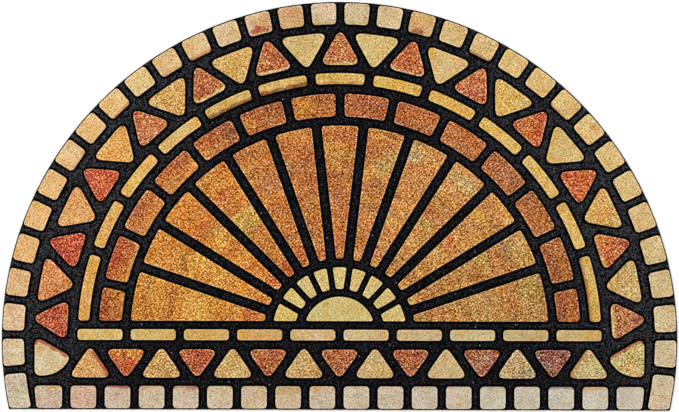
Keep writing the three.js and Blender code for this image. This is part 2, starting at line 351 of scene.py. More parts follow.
def printed_flock(name, dark, pale, blotch, wash, rim_highlight_lift=0.12):
    """Short pile, bonded upright and printed: dead matt, with unevenly inked tufts, painted pit shade and
    painted tip highlight.

    The tone, the strength of the specks, the paler rim (partly worn print, partly painted highlight) and
    the way the print runs come with the mesh.
    dark and pale say how far the specks go either way, as shares of that strength. blotch is what a pale
    blotch adds to red, green and blue, wash is how unevenly the ink lies, and rim_highlight_lift is how
    much brighter the rim's painted highlight is to the eye.
    """
    tuft_size = 2.1  # tufts are drawn this coarse so that they show
    row_pitch = 3.8  # they stand in slanting rows, drawn coarser too
    row_share = 0.3
    pile_depth = 0.3
    blotch_size = 22
    thin_size = 7
    thin = (-0.045 * wash, 0.006 * wash, 0.08 * wash)  # where the ink lies thin the print is greyer
    ruddy_size = 16
    ruddy = (0.028 * wash, -0.02 * wash, 0.012 * wash)  # where the red plate took more ink it is ruddier
    eye_gamma = 2.2  # specks are added to the tone as the eye sees it
    darkest, palest = (0.02,) * 3, (0.97,) * 3
    material = bpy.data.materials.new(name)
    material.use_nodes = True
    tree = material.node_tree
    place = add(tree, "ShaderNodeTexCoord", {}).outputs["Object"]
    laid = add(tree, "ShaderNodeAttribute", {}, attribute_name="print_run").outputs["Vector"]
    tone = add(tree, "ShaderNodeAttribute", {}, attribute_name="print_tone").outputs["Color"]
    speckle = add(tree, "ShaderNodeAttribute", {}, attribute_name="speckle").outputs["Fac"]
    rim_highlight = add(tree, "ShaderNodeAttribute", {}, attribute_name="pale_rim_highlight").outputs["Fac"]
    tuft = add(
        tree,
        "ShaderNodeTexNoise",
        {
            "Vector": place,
            "Scale": 1 / (tuft_size * MM),
            "Detail": 1.5,
            "Roughness": 0.7,
            "Distortion": 0.6,
        },
    ).outputs["Fac"]
    # specks: partly print, partly painted shade and highlight. Low places of the tuft noise go darker and
    # high ones paler, and the bump below raises the same tufts
    dark_speck_and_pit_shade = ramp(tree, tuft, 0.3, 0.5, low=-dark, high=0)
    pale_speck_and_tip_highlight = ramp(tree, tuft, 0.5, 0.7, high=pale)
    speck = add(tree, "ShaderNodeMath", {0: dark_speck_and_pit_shade, 1: pale_speck_and_tip_highlight}, operation="ADD").outputs[0]
    slanted = add(
        tree, "ShaderNodeMapping", {"Vector": place, "Rotation": (0, 0, math.radians(45))}
    ).outputs[0]
    from_tuft = add(
        tree,
        "ShaderNodeTexVoronoi",
        {"Vector": slanted, "Scale": 1 / (row_pitch * MM), "Randomness": 0.45},
        voronoi_dimensions="2D",
    ).outputs["Distance"]
    row = ramp(tree, from_tuft, 0.1, 0.66, low=row_share, high=-row_share)
    unevenness = add(tree, "ShaderNodeMath", {0: speck, 1: row}, operation="ADD").outputs[0]
    specks = add(tree, "ShaderNodeMath", {0: unevenness, 1: speckle}, operation="MULTIPLY").outputs[0]
    # painted highlight: the rim along each tile's edge is made brighter here, on top of the specks
    specks_and_rim_highlight = add(
        tree, "ShaderNodeMath", {0: rim_highlight, 1: rim_highlight_lift, 2: specks}, operation="MULTIPLY_ADD"
    ).outputs[0]
    washed = add(tree, "ShaderNodeGamma", {"Color": tone, "Gamma": 1 / eye_gamma}).outputs[0]
    for size, layer, shift in ((blotch_size, 0, blotch), (thin_size, 3, thin), (ruddy_size, 7, ruddy)):
        ink_cover = add(
            tree,
            "ShaderNodeTexNoise",
            {"Vector": laid, "W": layer, "Scale": 1 / size, "Detail": 3, "Roughness": 0.65},
            noise_dimensions="4D",
        ).outputs["Fac"]
        thinness = ramp(tree, ink_cover, 0.3, 0.7, low=-1)
        washed = add(
            tree, "ShaderNodeVectorMath", {0: thinness, 1: shift, 2: washed}, operation="MULTIPLY_ADD"
        ).outputs[0]
    specked = add(tree, "ShaderNodeVectorMath", {0: washed, 1: specks_and_rim_highlight}, operation="ADD").outputs[0]
    above_black = add(
        tree, "ShaderNodeVectorMath", {0: specked, 1: darkest}, operation="MAXIMUM"
    ).outputs[0]
    below_white = add(
        tree, "ShaderNodeVectorMath", {0: above_black, 1: palest}, operation="MINIMUM"
    ).outputs[0]
    printed = add(tree, "ShaderNodeGamma", {"Color": below_white, "Gamma": eye_gamma}).outputs[0]
    pile = add(
        tree, "ShaderNodeBump", {"Height": tuft, "Strength": 0.5, "Distance": pile_depth * MM}
    ).outputs[0]
    surface = tree.nodes["Principled BSDF"]
    surface.inputs["Roughness"].default_value = 0.95
    surface.inputs["Specular IOR Level"].default_value = 0.1
    surface.inputs["Sheen Weight"].default_value = 0.1
    tree.links.new(printed, surface.inputs["Base Color"])
    tree.links.new(pile, surface.inputs["Normal"])
    return material


def polar(centre, radius, angles):
    """Points round a centre on the mat's middle line, by radius and by degrees from straight up."""
    turned = np.radians(angles)
    return np.column_stack([radius * np.sin(turned), centre + radius * np.cos(turned)])


def wedge(centre, inner, outer, start, end, groove):
    """A tile's outline between two radii and two angles, with half a groove kept clear on each side."""
    near = math.degrees(math.asin(groove / 2 / inner))
    far = math.degrees(math.asin(groove / 2 / outer))
    inner_arc = polar(centre, inner, np.linspace(start + near, end - near, ARC_POINTS))
    outer_arc = polar(centre, outer, np.linspace(end - far, start + far, ARC_POINTS))
    return np.vstack([inner_arc, outer_arc])


def cut_below(outline, level):
    """The part of an outline that lies above a level line."""
    kept = []
    for before, point in zip(np.roll(outline, 1, axis=0), outline):
        if (before[1] >= level) != (point[1] >= level):
            kept.append(before + (point - before) * (level - before[1]) / (point[1] - before[1]))
        if point[1] >= level:
            kept.append(point)
    return np.array(kept)


def steps_from_middle(count):
    """Whole or half steps from the middle of a band to each of its tiles."""
    return np.arange(count) - (count - 1) / 2


def crowded(angle):
    """An angle drawn in towards the crown."""
    turned = math.radians(angle)
    return math.degrees(math.atan2(math.sin(turned), CROWN_CROWDING * math.cos(turned)))


def clockwise(angle):
    """The matrix for points @ matrix that turns them clockwise in the plan, by an angle in degrees."""
    turned = math.radians(angle)
    return np.array([[math.cos(turned), -math.sin(turned)], [math.sin(turned), math.cos(turned)]])


def mirrored(outline):
    """The outline on the other side of the mat's middle line."""
    return (outline * [-1, 1])[::-1]


def along_path(path, distances):
    """Points on a path at these distances from its start."""
    run = np.concatenate([[0], np.cumsum(np.linalg.norm(np.diff(path, axis=0), axis=1))])
    return np.column_stack([np.interp(distances, run, path[:, axis]) for axis in (0, 1)])


def rounded(points, radius):
    """A tile's outline, anticlockwise, in small even steps, with a curve in place of each real corner."""
    most_of_side = 0.49  # the curve of a corner takes no more than this share of a side
    x, y = points.T
    if np.sum(x * np.roll(y, -1) - np.roll(x, -1) * y) < 0:
        points = points[::-1]
    before = points - np.roll(points, 1, axis=0)
    after = np.roll(points, -1, axis=0) - points
    across = before[:, 0] * after[:, 1] - before[:, 1] * after[:, 0]
    turn = np.abs(np.arctan2(across, np.sum(before * after, axis=1)))
    corners = np.flatnonzero(turn > SHARPEST_ARC)
    ends = np.append(corners[1:], corners[0] + len(points))
    sides = [points[np.arange(start, end + 1) % len(points)] for start, end in zip(corners, ends)]
    lengths = np.array([np.linalg.norm(np.diff(side, axis=0), axis=1).sum() for side in sides])
    longest_cuts = most_of_side * np.minimum(lengths, np.roll(lengths, 1))
    cuts = np.minimum(radius * np.tan(turn[corners] / 2), longest_cuts)
    outline = []
    for k, side in enumerate(sides):
        following = (k + 1) % len(sides)
        straight_end = lengths[k] - cuts[following]
        stops = max(2, round((straight_end - cuts[k]) / TILE_STEP) + 1)
        outline.extend(along_path(side, np.linspace(cuts[k], straight_end, stops)))
        start, corner = outline[-1], side[-1]
        end = along_path(sides[following], [cuts[following]])[0]
        for t in np.arange(1, CORNER_STEPS) / CORNER_STEPS:
            outline.append(start * (1 - t) ** 2 + corner * 2 * t * (1 - t) + end * t**2)
    return np.array(outline)


def away_from(points, starts, ends):
    """How far each point is from the nearest of these lines."""
    along = ends - starts
    offset = points[:, None] - starts
    share = np.clip(np.sum(offset * along, axis=2) / np.sum(along**2, axis=1), 0, 1)
    return np.linalg.norm(offset - share[..., None] * along, axis=2).min(axis=1)


def is_inside(points, outline):
    """Whether each point lies inside a closed outline."""
    x, y = points[:, :1], points[:, 1:]
    (ax, ay), (bx, by) = outline.T, np.roll(outline, -1, axis=0).T
    rise = np.where(by == ay, 1, by - ay)
    crossed = ((ay > y) != (by > y)) & (x < ax + (y - ay) * (bx - ax) / rise)
    return crossed.sum(axis=1) % 2 == 1


def tones_along(tones, count, rng):
    """A band's linear tones, between the stated ones, each a little lighter or darker."""
    stops = np.array([linear(tone)[:3] for tone in tones])
    places = np.linspace(0, len(stops) - 1, count)
    drawn = np.column_stack([np.interp(places, np.arange(len(stops)), channel) for channel in stops.T])
    return drawn * (1 + TONE_SPREAD * rng.uniform(-1, 1, (count, 1)))


def tile_form(outline, rng, layer):
    """One tile's points in the plan, their heights, its faces, and how many of those are rubber."""
    count = len(outline)
    steps = len(TILE_PROFILE)
    rings = stacked_rings(outline, TILE_PROFILE)
    fuzz = outward(outline) * FUZZ * lumps(outline, FUZZ_LUMP, layer)[:, None]
    rings[FLOCK_FOOT * count :, :2] += np.tile(fuzz, (steps - FLOCK_FOOT, 1))
    from_centre = np.hypot(rings[:, 0], rings[:, 1] - ROUND_CENTRE)
    overhang = np.maximum(from_centre - ROUND_RADIUS + FOOT_RIM, 0) / from_centre
    rings[:, :2] -= (rings[:, :2] - [0, ROUND_CENTRE]) * overhang[:, None]
    rings[:, 1] = np.maximum(rings[:, 1], FOOT_RIM)
    top_start = (steps - 1) * count
    top_ring = rings[top_start:, :2]
    pile = scattered(top_ring.min(axis=0), top_ring.max(axis=0), PILE_STEP, rng)
    pile = pile[is_inside(pile, top_ring)]
    pile = pile[away_from(pile, top_ring, np.roll(top_ring, -1, axis=0)) > PILE_STEP * PILE_MARGIN]
    plan = np.vstack([rings[:, :2], pile])
    heights = np.concatenate([rings[:, 2], np.full(len(pile), TILE_PROFILE[-1][1])])
    crown = slice(top_start - count, None)
    heights[crown] += PILE_RISE * lumps(plan[crown], PILE_LUMP, layer + PILE_LAYER)
    faces = [
        list(range(count))[::-1],
        *wall_faces(steps, count).tolist(),
        *(triangles_over(top_ring, pile) + top_start).tolist(),
    ]
    return plan, heights, faces, 1 + FLOCK_FOOT * count


def tile_print(tile, plan, layer):
    """The tone of a tile's print at each point, slips and stains included, and how far slips cover it."""
    outline = tile["outline"]
    turn = clockwise(tile["angle"])
    tones = np.tile(tile["tone"], (len(plan), 1))
    covered = np.zeros(len(plan))
    for side, width, colour, share in tile["slips"]:
        facing = outward(outline) @ (np.array(SIDES[side]) @ turn) > SIDE_FACING
        strip = width - away_from(plan, outline[facing], np.roll(outline, -1, axis=0)[facing])
        bites = SLIP_RAG * lumps(plan, SLIP_BITE, layer)
        waves = width * SLIP_SWAY * lumps(plan, SLIP_WAVE, layer)
        strip += bites + waves
        slipped = share * np.clip(strip / SLIP_BLUR + 0.5, 0, 1)
        tones += (np.array(linear(colour)[:3]) - tones) * slipped[:, None]
        covered = np.maximum(covered, slipped)
    for x, y, radius, colour, share in tile["stains"]:
        across, out = turn @ (plan - [x, y]).T / radius
        nearness = 1 - np.hypot(across / STAIN_STRETCH, out)
        ragged = nearness + STAIN_RAG * lumps(plan, radius * STAIN_BITE, layer)
        stained = share * np.clip(ragged / STAIN_BLUR, 0, 1)
        tones += (np.array(linear(colour)[:3]) - tones) * stained[:, None]
    return np.column_stack([tones, np.ones(len(plan))]), covered


def raised_tiles(name, tiles, flock, seed, run=np.copy):
    """All the tiles of a band as one mesh, with what the flock's material needs to know at each point.

    run says how far along and across the print a place lies.
    """
    rng = np.random.default_rng(seed)
    points, faces, is_flock, tones, speckle, rim_highlight = [], [], [], [], [], []
    for number, tile in enumerate(tiles):
        layer = seed + number / len(tiles)
        plan, heights, tile_faces, rubber_faces = tile_form(tile["outline"], rng, layer)
        first = sum(map(len, points))
        faces += [[first + corner for corner in face] for face in tile_faces]
        is_flock += [face >= rubber_faces for face in range(len(tile_faces))]
        points.append(np.column_stack([plan, heights]))
        tile_tones, covered = tile_print(tile, plan, layer)
        tones.append(tile_tones)
        speckle.append(tile["speckle"] * (1 - SLIP_SMOOTH * covered))
        # the paler rim: partly worn print, partly a painted highlight where the shoulder catches the
        # light
        outline = tile["outline"]
        depth_in = away_from(plan, outline, np.roll(outline, -1, axis=0))
        rim_highlight.append(np.clip(RIM_HIGHLIGHT_END - depth_in / RIM_HIGHLIGHT_WIDTH, 0, 1) * (1 - covered))
    piece = mesh_piece(name, np.vstack(points), faces, [wall_skin_and_shade, flock])
    mesh = piece.data
    mesh.polygons.foreach_set("material_index", np.array(is_flock, dtype=np.int32))
    print_run = np.column_stack([run(np.vstack(points)[:, :2]), np.zeros(len(mesh.vertices))])
    for attribute, kind, field, values in (
        ("print_tone", "FLOAT_COLOR", "color", np.vstack(tones)),
        ("print_run", "FLOAT_VECTOR", "vector", print_run),
        ("speckle", "FLOAT", "value", np.concatenate(speckle)),
        ("pale_rim_highlight", "FLOAT", "value", np.concatenate(rim_highlight)),
    ):
        mesh.attributes.new(attribute, kind, "POINT").data.foreach_set(field, values.ravel())
    return piece


def make_tile(points, corner, angle, tone, speckle, slip=None, stains=()):
    """One tile: its outline, the way its outer side faces, and all that its print shows."""
    return {
        "outline": rounded(points, corner),
        "angle": angle,
        "tone": tone,
        "speckle": speckle,
        "slips": [slip] if slip else [],
        "stains": stains,
    }


# near-black skin of the walls and foot fillets: partly black rubber, partly painted shade
wall_skin_and_shade = moulded_skin_and_shade()
cream_flock = printed_flock(
    "flock_printed_cream", dark=1.22, pale=0.76, blotch=(0.042, 0.054, 0.067), wash=0.62
)
border_edges = [crowded(BORDER_PITCH * step) for step in steps_from_middle(BORDER_TILES + 1)]
border_outlines = [
    wedge(ROUND_CENTRE, BORDER_INNER, BORDER_OUTER, start, end, BORDER_GROOVE)
    for start, end in zip(border_edges, border_edges[1:])
]
last_edge = border_edges[-1]
past_corner = last_edge + 2 * BORDER_PITCH
corner_tile = cut_below(
    wedge(ROUND_CENTRE, BORDER_INNER, BORDER_OUTER, last_edge, past_corner, BORDER_GROOVE), RUBBER_RIM
)
border_steps = steps_from_middle(BORDER_TILES + 2)
border_tiles = [
    make_tile(
        points,
        BORDER_CORNER,
        BORDER_PITCH * step,
        tone,
        BORDER_SPECKLE,
        BORDER_SLIPS.get(step),
        BORDER_STAINS.get(step, ()),
    )
    for step, points, tone in zip(
        border_steps,
        [mirrored(corner_tile), *border_outlines, corner_tile],
        tones_along(BORDER_TONES, BORDER_TILES + 2, np.random.default_rng(2)),
    )
]
border_squares = raised_tiles("border_squares", border_tiles, cream_flock, seed=10)
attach(border_squares, "root")

# Terracotta triangles of the ring
# Every other triangle inside the border points out. The print is a strong terracotta, speckled like fired
# clay, and on most of them it slipped outwards, so that a straw strip shows along the base.
RING_CENTRE = 98.5
RING_PITCH = 7.22  # degrees
RING_TRIANGLES = 25
RING_CORNER = 8.7
POINT_OUT_APEX = 418.6
POINT_OUT_BASE = 367.6
POINT_OUT_HALF_BASE = 28.3
RING_RED_TONES = ["#a84b28", "#b4512c", "#a55d2d", "#a85f2e", "#b05625", "#b45828", "#a5663b"]
RING_RED_SPECKLE = 0.386
RING_RED_SLIPS = {
    -6: ("in", 2.2, "#c89e59", 0.7),
    -4: ("in", 4.0, "#d1b978", 0.9),
    -2: ("in", 4.2, "#d2bb7d", 0.9),
    0: ("in", 3.6, "#cbb36e", 0.8),
    2: ("in", 2.4, "#d1b57f", 0.8),
    10: ("in", 4.0, "#d2b76e", 0.9),
    12: ("in", 3.6, "#cfb272", 0.8),
}
RING_RED_STAINS = {
    -10: [(-365, 216, 26, "#ab4322", 0.7)],
    -6: [(-260, 380, 26, "#b77649", 0.6)],
    0: [(0, 482, 26, "#b97845", 0.5)],
    4: [(181, 437, 26, "#a9724a", 0.6)],
    10: [(358, 215, 22, "#b05820", 0.6)],
}


def ring_triangle(step, apex, base, half_base):
    """A triangle of the ring, turned about the ring's centre."""
    turn = clockwise(crowded(RING_PITCH * step))
    return np.array([(0, apex), (-half_base, base), (half_base, base)]) @ turn + [0, RING_CENTRE]


terracotta_flock = printed_flock(
    "flock_printed_terracotta", dark=0.88, pale=1.08, blotch=(0.062, 0.093, 0.04), wash=0.9, rim_highlight_lift=0.2
)
ring_steps = steps_from_middle(RING_TRIANGLES)
red_steps = [step for step in ring_steps if step % 2 == 0]
red_tones = tones_along(RING_RED_TONES, len(red_steps), np.random.default_rng(3))
ring_red_tiles = [
    make_tile(
        ring_triangle(step, POINT_OUT_APEX, POINT_OUT_BASE, POINT_OUT_HALF_BASE),
        RING_CORNER,
        RING_PITCH * step,
        tone,
        RING_RED_SPECKLE,
        RING_RED_SLIPS.get(step),
        RING_RED_STAINS.get(step, ()),
    )
    for step, tone in zip(red_steps, red_tones)
]
ring_terracotta = raised_tiles("ring_terracotta", ring_red_tiles, terracotta_flock, seed=11)
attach(ring_terracotta, "root")

# Straw triangles of the ring
# The triangles between them point in, printed straw, plain at the crown and more freckled to the sides.
# The ring ends in two tiles with a bulging lower side, and a slip of terracotta along their upper one.
POINT_IN_APEX = 362.7
POINT_IN_BASE = 411.1
POINT_IN_HALF_BASE = 35
END_OUTER_X = 412
END_TOP_Y = 100
END_APEX = (363, 72)
END_LOW = (402, 45.5)
END_BULGE = 15
RING_STRAW_TONES = ["#c78049", "#d69d58", "#c69d55", "#c8ae75", "#cea968", "#cba25b", "#c2a062"]
RING_STRAW_SPECKLES = [0.32, 0.26, 0.26, 0.34, 0.25, 0.16, 0.16, 0.15, 0.26, 0.17, 0.28, 0.28]
LEFT_END_SPECKLE = 0.14
RIGHT_END_SPECKLE = 0.33
LEFT_END_TONE = "#ceb991"
RIGHT_END_TONE = "#beac70"
LEFT_END_SLIP = ("right", 4.6, "#a25536", 0.9)
RIGHT_END_SLIP = ("left", 4.4, "#aa663f", 0.9)
LEFT_END_STAINS = [(-404, 82, 6, "#d29157", 0.4)]
RIGHT_END_STAINS = [(396, 58, 14, "#c88e4d", 0.7)]
RING_STRAW_STAINS = {
    -9: [(-355, 269, 24, "#d8a466", 0.6)],
    -7: [(-301, 353, 24, "#d6994f", 0.5)],
    3: [(128, 472, 26, "#d0b07e", 0.6), (121, 488, 12, "#cf9d49", 0.8)],
    5: [(228, 420, 24, "#cda252", 0.7)],
    7: [(301, 353, 24, "#cbb173", 0.7)],
    9: [(355, 269, 24, "#cf9446", 0.7)],
}

straw_flock = printed_flock(
    "flock_printed_straw", dark=1.15, pale=0.87, blotch=(0.035, 0.058, 0.074), wash=0.72
)
straw_steps = [step for step in ring_steps if step % 2 == 1]
straw_tones = tones_along(RING_STRAW_TONES, len(straw_steps), np.random.default_rng(4))
ring_straw_tiles = [
    make_tile(
        ring_triangle(step, POINT_IN_APEX, POINT_IN_BASE, POINT_IN_HALF_BASE),
        RING_CORNER,
        RING_PITCH * step,
        tone,
        speckle,
        stains=RING_STRAW_STAINS.get(step, ()),
    )
    for step, tone, speckle in zip(straw_steps, straw_tones, RING_STRAW_SPECKLES)
]
end_side = np.subtract(END_LOW, END_APEX)
bulge = END_BULGE * np.array([end_side[1], -end_side[0]]) / np.hypot(*end_side)
bulge_middle = np.add(END_APEX, END_LOW) / 2 + bulge
end_curve = [
    np.array(END_APEX) * (1 - t) ** 2 + bulge_middle * 2 * t * (1 - t) + np.array(END_LOW) * t**2
    for t in np.linspace(0, 1, ARC_POINTS)
]
end_points = np.array([(END_OUTER_X, END_TOP_Y), *end_curve, (END_OUTER_X, END_LOW[1])])
ring_straw_tiles += [
    make_tile(
        mirrored(end_points),
        RING_CORNER,
        -90,
        linear(LEFT_END_TONE)[:3],
        LEFT_END_SPECKLE,
        LEFT_END_SLIP,
        LEFT_END_STAINS,
    ),
    make_tile(
        end_points,
        RING_CORNER,
        90,
        linear(RIGHT_END_TONE)[:3],
        RIGHT_END_SPECKLE,
        RIGHT_END_SLIP,
        RIGHT_END_STAINS,
    ),
]
ring_straw = raised_tiles("ring_straw", ring_straw_tiles, straw_flock, seed=12)
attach(ring_straw, "root")

# Arc bars
# A ring of slender curved bars inside the triangles, printed gold. Rust from the bricks has slipped onto
# the inner edge of a few.
FAN_CENTRE = 102
FAN_FLOOR = 120  # the fan's bands stop at this height
PAST_FLOOR = 90  # degrees: the end tiles run on to here, and the fan's floor cuts them
BAR_INNER = 338.3
BAR_OUTER = 353.6
BAR_PITCH = 12.94
ARC_BARS = 13
BAR_GROOVE = 12
BAR_CORNER = 4.8
BAR_TONES = ["#cc9750", "#d4a65a", "#cca65c", "#cca65c", "#cea44f", "#cfaa60", "#caa256"]
BAR_SPECKLE = 0.193
BAR_SLIPS = {
    -2: ("in", 5.0, "#84502d", 0.85),
    -1: ("in", 5.6, "#824b2b", 0.9),
    0: ("in", 3.0, "#aa703d", 0.6),
    6: ("in", 3.2, "#975734", 0.7),
}
BAR_STAINS = {
    -3: [(-217, 372, 30, "#cfb074", 0.6)],
    1: [(77, 439, 30, "#d1a048", 0.6)],
    2: [(151, 413, 30, "#d1ac60", 0.6)],
    5: [(313, 247, 30, "#d3a653", 0.5)],
}


def fan_band(inner, outer, pitch, count, groove):
    """Each tile's step from the middle and its outline, in a band of the fan. The floor cuts the ends."""
    last = (count - 1) / 2
    for step in steps_from_middle(count):
        start = -PAST_FLOOR if step == -last else pitch * (step - 0.5)
        end = PAST_FLOOR if step == last else pitch * (step + 0.5)
        yield step, cut_below(wedge(FAN_CENTRE, inner, outer, start, end, groove), FAN_FLOOR)


gold_flock = printed_flock(
    "flock_printed_gold", dark=1.13, pale=0.87, blotch=(0.038, 0.06, 0.084), wash=0.85
)
bar_tones = tones_along(BAR_TONES, ARC_BARS, np.random.default_rng(5))
bar_band = fan_band(BAR_INNER, BAR_OUTER, BAR_PITCH, ARC_BARS, BAR_GROOVE)
arc_bar_tiles = [
    make_tile(
        points,
        BAR_CORNER,
        BAR_PITCH * step,
        tone,
        BAR_SPECKLE,
        BAR_SLIPS.get(step),
        BAR_STAINS.get(step, ()),
    )
    for (step, points), tone in zip(bar_band, bar_tones)
]
arc_bars = raised_tiles("arc_bars", arc_bar_tiles, gold_flock, seed=13)
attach(arc_bars, "root")

# Bricks
# Broad curved bricks round the outer ends of the rays, printed rust with dark and pale specks. Gold has
# slipped onto the inner edge of four on the left.
BRICK_INNER = 294.5
BRICK_OUTER = 325.7
BRICK_PITCH = 12.94
BRICKS = 14
BRICK_GROOVE = 12.1
BRICK_CORNER = 5.4
BRICK_TONES = ["#a96329", "#bd7030", "#9b5828", "#a25d29", "#ae632c", "#9b5b2d", "#945526"]
BRICK_SPECKLE = 0.347
BRICK_STAINS = {
    -6.5: [(-317, 135, 12, "#974d2e", 0.7)],
    -5.5: [(-300, 211, 24, "#a34822", 0.85)],
    -4.5: [(-275, 272, 13, "#9d512a", 0.7), (-250, 259, 11, "#c48536", 0.7)],
    -3.5: [(-235, 306, 14, "#c2762c", 0.7), (-214, 333, 10, "#9d552a", 0.6)],
    -2.5: [(-147, 375, 17, "#7f462d", 0.8), (-185, 356, 11, "#af5d2a", 0.5)],
    -1.5: [(-98, 409, 13, "#8f4d28", 0.7), (-124, 388, 10, "#c17c38", 0.7)],
    -0.5: [(-51, 413, 14, "#c17f2c", 0.8)],
    0.5: [(30, 410, 18, "#ac6c38", 0.5)],
    3.5: [(220, 320, 20, "#ae7044", 0.6)],
    4.5: [(263, 265, 20, "#98582a", 0.6)],
}
BRICK_SLIPS = {
    -6.5: ("in", 4.0, "#c28e47", 0.7),
    -5.5: ("in", 5.0, "#cb9545", 0.7),
    -4.5: ("in", 6.0, "#cf9247", 0.6),
    -3.5: ("in", 6.0, "#cb8d44", 0.6),
}
STREAK_STRETCH = 4  # streaks of the print are this many times longer than wide
STREAK_RADIUS = 200  # at this distance from the fan's centre


def round_the_fan(plan):
    """The run of a print that is streaked round the fan like the rings of a log."""
    across, up = (plan - [0, FAN_CENTRE]).T
    around = np.arctan2(across, up) * STREAK_RADIUS / STREAK_STRETCH
    return np.column_stack([np.hypot(across, up), around])


rust_flock = printed_flock(
    "flock_printed_rust", dark=1.0, pale=1.0, blotch=(0.085, 0.084, 0.037), wash=0.8, rim_highlight_lift=0.18
)
brick_tones = tones_along(BRICK_TONES, BRICKS, np.random.default_rng(6))
brick_band = fan_band(BRICK_INNER, BRICK_OUTER, BRICK_PITCH, BRICKS, BRICK_GROOVE)
brick_tiles = [
    make_tile(
        points,
        BRICK_CORNER,
        BRICK_PITCH * step,
        tone,
        BRICK_SPECKLE,
        BRICK_SLIPS.get(step),
        BRICK_STAINS.get(step, ()),
    )
    for (step, points), tone in zip(brick_band, brick_tones)
]
bricks = raised_tiles("bricks", brick_tiles, rust_flock, seed=14, run=round_the_fan)
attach(bricks, "root")

# Rays
# Thirteen long wedges that spread from the sun, the largest tiles of the mat. They are printed in the
# same rust, streaked with ochre and red as the ink ran.
RAY_INNER = 102.5
RAY_OUTER = 282.6
RAY_PITCH = 12.96
RAYS = 13
RAY_GROOVE = 13.2
RAY_CORNER = 4
RAY_TONES = ["#bb7929", "#bb7127", "#b06c2c", "#ad692e", "#b47638", "#b37a38", "#a77435"]
RAY_SPECKLE = 0.357
RAY_STAINS = {
    -6: [
        (-258, 168, 10, "#a38247", 0.7),
        (-226, 157, 9, "#ae5d2a", 0.7),
        (-195, 139, 24, "#cc9c41", 0.7),
        (-121, 135, 26, "#b55a24", 0.7),
    ],
    -5: [
        (-242, 222, 20, "#c47626", 0.7),
        (-194, 196, 22, "#cc9638", 0.7),
        (-160, 181, 13, "#c69444", 0.7),
        (-115, 160, 16, "#b96e2d", 0.5),
    ],
    -4: [
        (-212, 271, 22, "#c27628", 0.7),
        (-162, 232, 17, "#c69238", 0.7),
        (-127, 213, 14, "#bf873e", 0.6),
        (-80, 178, 16, "#aa5726", 0.7),
    ],
    -3: [
        (-158, 324, 16, "#c47026", 0.7),
        (-154, 294, 11, "#9a4d27", 0.8),
        (-122, 256, 24, "#b99542", 0.8),
        (-70, 190, 20, "#af531f", 0.7),
    ],
    -2: [
        (-118, 350, 14, "#aa662c", 0.6),
        (-97, 306, 10, "#b77c4d", 0.6),
        (-53, 213, 24, "#b2501e", 0.7),
    ],
    -1: [
        (-57, 368, 12, "#bd7f38", 0.6),
        (-73, 333, 8, "#ae7c3e", 0.6),
        (-42, 345, 14, "#994d24", 0.7),
        (-22, 209, 16, "#b3572c", 0.6),
    ],
    0: [
        (-4, 345, 14, "#bb883c", 0.7),
        (16, 325, 9, "#935736", 0.7),
        (-3, 290, 7, "#8f562a", 0.6),
        (1, 228, 18, "#b95d28", 0.6),
    ],
    1: [
        (50, 372, 10, "#c48532", 0.5),
        (59, 329, 14, "#b59353", 0.8),
        (74, 341, 10, "#bda264", 0.8),
        (46, 306, 11, "#945831", 0.7),
    ],
    2: [
        (97, 349, 19, "#b4965b", 0.8),
        (118, 325, 14, "#c17c38", 0.6),
        (90, 283, 18, "#c28536", 0.6),
        (62, 260, 10, "#c89b3e", 0.7),
    ],
    3: [
        (166, 304, 19, "#b99e66", 0.7),
        (148, 283, 10, "#bd7f3e", 0.6),
        (122, 271, 9, "#9d572a", 0.8),
        (113, 252, 8, "#aa8745", 0.7),
        (98, 243, 7, "#a45e2e", 0.7),
        (88, 225, 13, "#c09341", 0.7),
    ],
    4: [
        (214, 266, 14, "#c27b37", 0.6),
        (226, 254, 8, "#c1a05d", 0.5),
        (186, 264, 12, "#c4933f", 0.7),
        (149, 229, 9, "#b36028", 0.8),
        (128, 213, 14, "#c29543", 0.7),
    ],
    5: [
        (240, 226, 13, "#b38b57", 0.7),
        (221, 221, 11, "#9f7247", 0.7),
        (187, 205, 17, "#b58e45", 0.7),
        (109, 156, 12, "#b7763a", 0.6),
    ],
    6: [
        (252, 167, 22, "#a88645", 0.8),
        (198, 146, 24, "#b1894f", 0.7),
        (136, 138, 18, "#ac7436", 0.7),
    ],
}

ray_tones = tones_along(RAY_TONES, RAYS, np.random.default_rng(7))
ray_band = fan_band(RAY_INNER, RAY_OUTER, RAY_PITCH, RAYS, RAY_GROOVE)
ray_tiles = [
    make_tile(points, RAY_CORNER, RAY_PITCH * step, tone, RAY_SPECKLE, stains=RAY_STAINS[step])
    for (step, points), tone in zip(ray_band, ray_tones)
]
rays = raised_tiles("rays", ray_tiles, rust_flock, seed=15, run=round_the_fan)
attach(rays, "root")

# Sun and its short rays
# A half disc in the middle of the fan with nine stubby rays round it, printed a plain pale straw.
SUN_RAY_INNER = 61.6
SUN_RAY_OUTER = 91.3
SUN_RAY_PITCH = 17.13
SUN_RAYS = 9
SUN_RAY_GROOVE = 7.9
SUN_RAY_CORNER = 3.1
SUN_RAY_SPECKLE = 0.186
SUN_RADIUS = 48.5
SUN_CENTRE = 105
SUN_CORNER = 3
SUN_ARC_POINTS = 61
SUN_RAY_TONES = ["#ccaf62", "#c9b173", "#ccb26e", "#cab06f", "#cbb16e"]
SUN_TONE = "#c6b171"
SUN_SPECKLE = 0.154
SUN_STAINS = [(24, 133, 8, "#cca55c", 0.5), (-18, 143, 4, "#b38a47", 0.5)]

